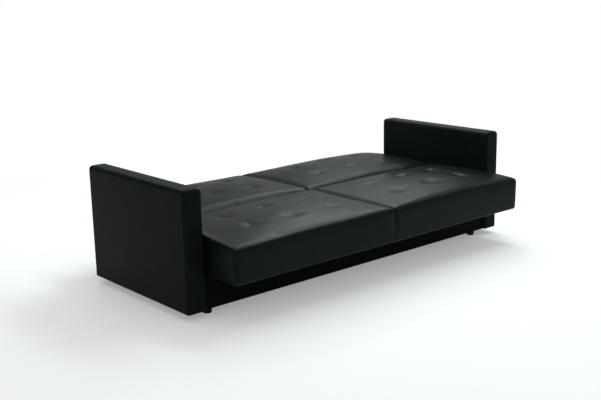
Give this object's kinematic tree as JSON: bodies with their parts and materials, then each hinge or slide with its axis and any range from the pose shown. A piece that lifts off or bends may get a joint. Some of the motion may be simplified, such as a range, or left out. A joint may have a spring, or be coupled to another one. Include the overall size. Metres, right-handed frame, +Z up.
{
  "type": "sofa bed",
  "caption": "Folding sofa bed laid flat: tufted black leatherette seat and back between slab arms, on a linen box with short round feet; the back folds up and the seat lifts.",
  "frame": {"origin": "on the floor, under the middle of the flat bed", "axes": "+X along the sofa's length to its right-hand arm seen from the front, -Y to the front, +Z up"},
  "size_m": [2.078, 1.2, 0.574],
  "materials": {
    "padded_leatherette": "satin",
    "leatherette": "satin",
    "foot_plastic": "matte",
    "lining": "matte",
    "hardboard": "matte",
    "chipboard": "matte",
    "beech": "satin",
    "pine": "matte",
    "zinc_fixings": "satin",
    "mechanism_steel": "satin"
  },
  "bodies": {
    "base": {"arm_bolts_left": "zinc_fixings", "arm_bolts_right": "zinc_fixings", "arm_cover_left": "leatherette", "arm_cover_right": "leatherette", "arm_frame_left": "pine", "arm_frame_right": "pine", "arm_packers_left": "pine", "arm_packers_right": "pine", "arm_underside_left": "hardboard", "arm_underside_right": "hardboard", "base_bracket_left": "mechanism_steel", "base_bracket_right": "mechanism_steel", "base_bracket_screws": "zinc_fixings", "base_centre_rail": "pine", "base_corner_blocks": "pine", "base_end_panel_left": "chipboard", "base_end_panel_right": "chipboard", "base_floor": "hardboard", "base_front_cover": "leatherette", "base_front_panel": "chipboard", "base_pins_left": "zinc_fixings", "base_pins_right": "zinc_fixings", "base_rear_panel": "chipboard", "foot_screws": "zinc_fixings", "front_left_foot": "foot_plastic", "front_right_foot": "foot_plastic", "rear_left_foot": "foot_plastic", "rear_right_foot": "foot_plastic"},
    "front_links": {"front_link_left": "mechanism_steel", "front_link_right": "mechanism_steel"},
    "rear_links": {"rear_link_left": "mechanism_steel", "rear_link_right": "mechanism_steel"},
    "hinge_plates": {"hinge_plate_left": "mechanism_steel", "hinge_plate_right": "mechanism_steel", "plate_pins_left": "zinc_fixings", "plate_pins_right": "zinc_fixings"},
    "seat": {"seat_bracket_bolts": "zinc_fixings", "seat_bracket_left": "mechanism_steel", "seat_bracket_right": "mechanism_steel", "seat_buttons": "leatherette", "seat_cushion": "padded_leatherette", "seat_frame": "pine", "seat_lining": "lining", "seat_slats": "beech"},
    "back": {"back_bracket_bolts": "zinc_fixings", "back_bracket_left": "mechanism_steel", "back_bracket_right": "mechanism_steel", "back_buttons": "leatherette", "back_cushion": "padded_leatherette", "back_frame": "pine", "back_lining": "lining", "back_slats": "beech"}
  },
  "joints": [
    {"name": "front_link_swing", "type": "hinge", "parent": "base", "child": "front_links", "pos_m": [0, 0.04, 0.08], "axis": [1, 0, 0], "range_deg": [-90, 0]},
    {"name": "rear_link_swing", "type": "hinge", "parent": "base", "child": "rear_links", "pos_m": [0, 0.16, 0.08], "axis": [1, 0, 0], "range_deg": [-90, 0]},
    {"name": "plate_level", "type": "hinge", "parent": "front_links", "child": "hinge_plates", "pos_m": [0, -0.06, 0.18], "axis": [1, 0, 0], "range_deg": [0, 90]},
    {"name": "back_fold", "type": "hinge", "parent": "hinge_plates", "child": "back", "pos_m": [0, 0.0305, 0.338], "axis": [1, 0, 0], "range_deg": [0, 75]},
    {"name": "seat_lift", "type": "hinge", "parent": "hinge_plates", "child": "seat", "pos_m": [0, -0.0305, 0.338], "axis": [-1, 0, 0], "range_deg": [0, 45]}
  ],
  "couplings": [
    {"joint": "front_link_swing", "follows": "back_fold", "ratio": -1.2},
    {"joint": "rear_link_swing", "follows": "back_fold", "ratio": -1.2},
    {"joint": "plate_level", "follows": "back_fold", "ratio": 1.2}
  ]
}
